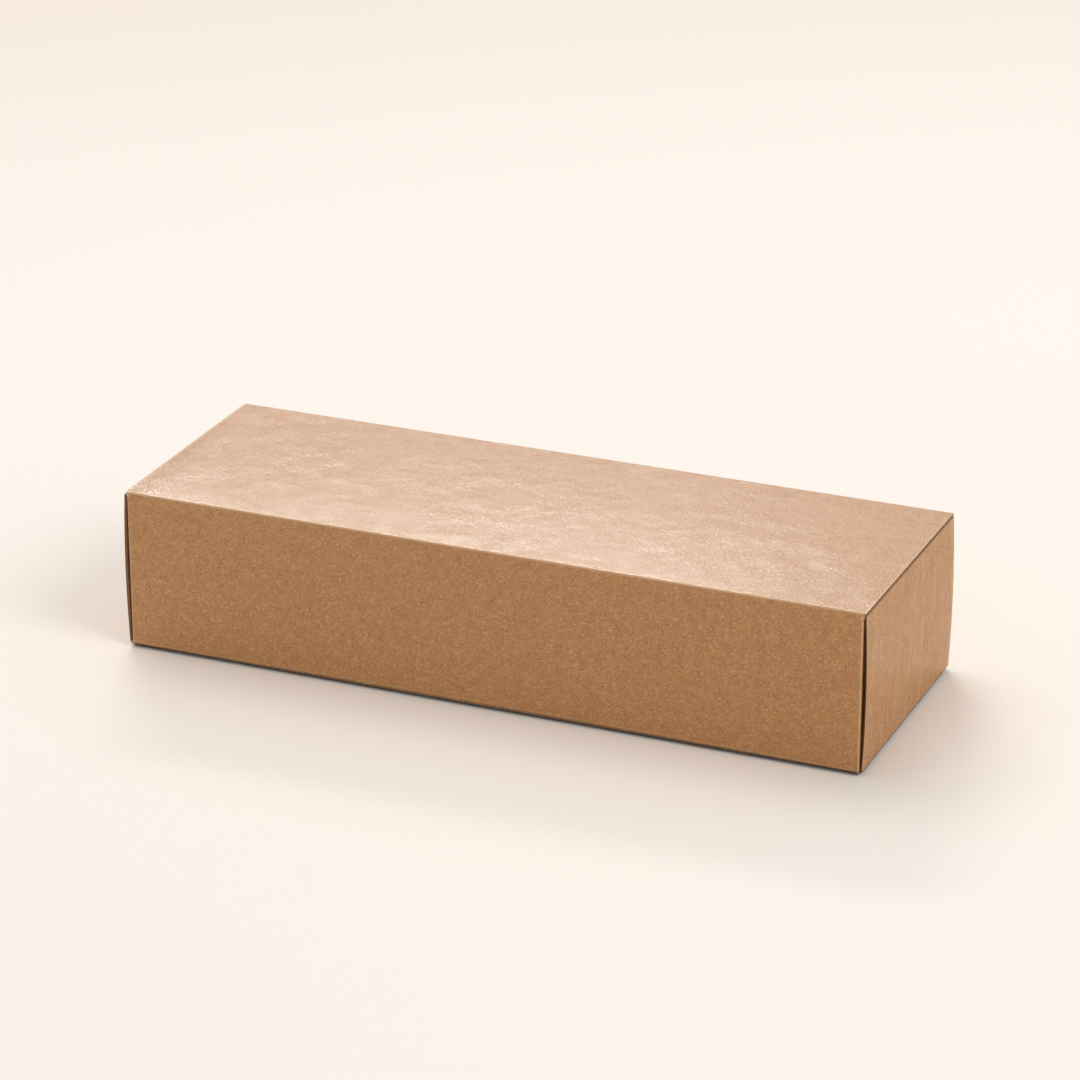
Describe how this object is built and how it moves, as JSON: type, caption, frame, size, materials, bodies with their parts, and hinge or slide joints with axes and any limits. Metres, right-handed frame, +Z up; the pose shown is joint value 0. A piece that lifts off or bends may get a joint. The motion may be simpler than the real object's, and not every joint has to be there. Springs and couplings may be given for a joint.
{
  "type": "closed cardboard box",
  "caption": "Long, low folding carton of kraft board with a glued sleeve, dust flaps and a hinged tuck closure at each end, shown closed.",
  "frame": {"origin": "centre of the underside, on the surface that the carton stands on", "axes": "+X along the length towards the right end, whose closure is hinged at the bottom; +Y from the glued front wall to the back wall; +Z up"},
  "size_m": [0.3012, 0.103, 0.0645],
  "materials": {
    "kraft_board": "matte"
  },
  "bodies": {
    "carton": {"carton_body": "kraft_board"},
    "right_flap": {"right_closure": "kraft_board"},
    "left_flap": {"left_closure": "kraft_board"}
  },
  "joints": [
    {"name": "right_closure_hinge", "type": "hinge", "parent": "carton", "child": "right_flap", "pos_m": [0.14975, 0, 0.00025], "axis": [0, 1, 0], "range_deg": [0, 88]},
    {"name": "left_closure_hinge", "type": "hinge", "parent": "carton", "child": "left_flap", "pos_m": [-0.14975, 0, 0.06425], "axis": [0, 1, 0], "range_deg": [0, 170]}
  ]
}
